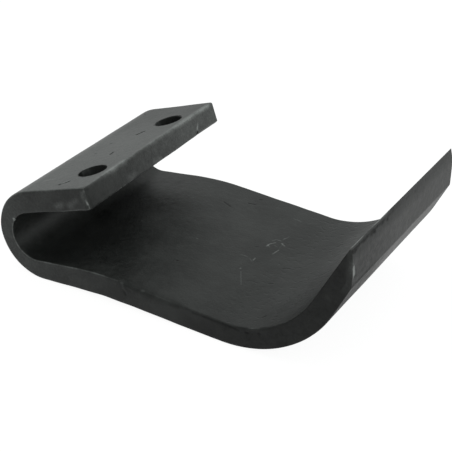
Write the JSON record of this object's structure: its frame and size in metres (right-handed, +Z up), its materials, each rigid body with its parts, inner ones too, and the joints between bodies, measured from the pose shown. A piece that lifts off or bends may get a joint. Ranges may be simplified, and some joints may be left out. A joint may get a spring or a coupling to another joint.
{
  "type": "hammer mill knife",
  "caption": "Forged flat-bar knife bent into a hooked mounting leg with bolt holes, a long leaf and an upturned scoop blade with a ground edge.",
  "frame": {"origin": "on the surface that the knife lies on, below the middle of its bounding box", "axes": "+Z up, with the knife lying on its leaf; +X from the nose of the U bend towards the blade; +Y across the width"},
  "size_m": [0.1632, 0.1, 0.0595],
  "materials": {
    "black_steel": "satin"
  },
  "bodies": {
    "root": {"knife": "black_steel"}
  },
  "joints": []
}
